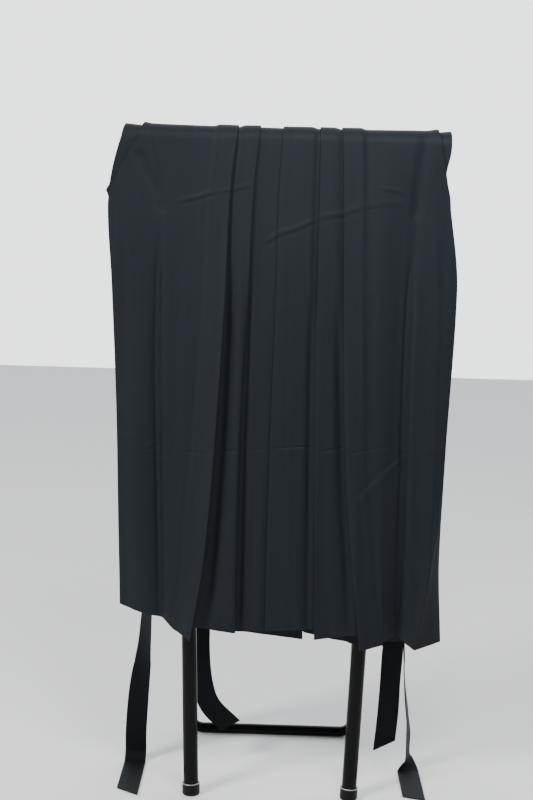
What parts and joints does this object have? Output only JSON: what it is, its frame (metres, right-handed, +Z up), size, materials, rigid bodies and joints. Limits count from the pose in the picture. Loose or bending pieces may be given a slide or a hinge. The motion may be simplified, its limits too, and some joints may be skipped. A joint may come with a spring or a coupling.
{
  "type": "hakama trousers on a rack stand",
  "caption": "Pleated dark hakama trousers folded over the top bar of a black tubular rack stand, legs hanging in front, waist behind, ties loose.",
  "frame": {"origin": "centre of the whole part's plan outline, on the surface that the stand's feet rest on", "axes": "+Z up along the fall of the cloth, -Y toward the wearer's front, +X to the right of someone facing the front"},
  "size_m": [0.5834, 0.3124, 1.1325],
  "materials": {
    "cloth": "smooth dark navy woven polyester with a slight sheen",
    "tie_cloth": "the same cloth, folded and pressed into bands",
    "tube": "gloss black enamel on steel tube",
    "rubber": "satin black"
  },
  "bodies": {
    "root": {"front_left_outer": "cloth", "front_left_inner": "cloth", "front_right_inner": "cloth", "front_right_outer": "cloth", "back_left": "cloth", "back_right": "cloth", "inner_leg_left": "cloth", "inner_leg_right": "cloth", "crotch_gusset": "cloth", "front_waistband": "tie_cloth", "back_waistband": "tie_cloth", "back_board": "tie_cloth", "front_tie_left": "tie_cloth", "front_tie_right": "tie_cloth", "back_tie_left": "tie_cloth", "back_tie_right": "tie_cloth", "stand_top_bar": "tube", "stand_front_leg_left": "tube", "stand_front_leg_right": "tube", "stand_rear_leg_left": "tube", "stand_rear_leg_right": "tube", "stand_rear_bar": "tube", "stand_front_foot_left": "rubber", "stand_front_foot_right": "rubber", "stand_bar_plug_left": "rubber", "stand_bar_plug_right": "rubber"}
  },
  "joints": []
}
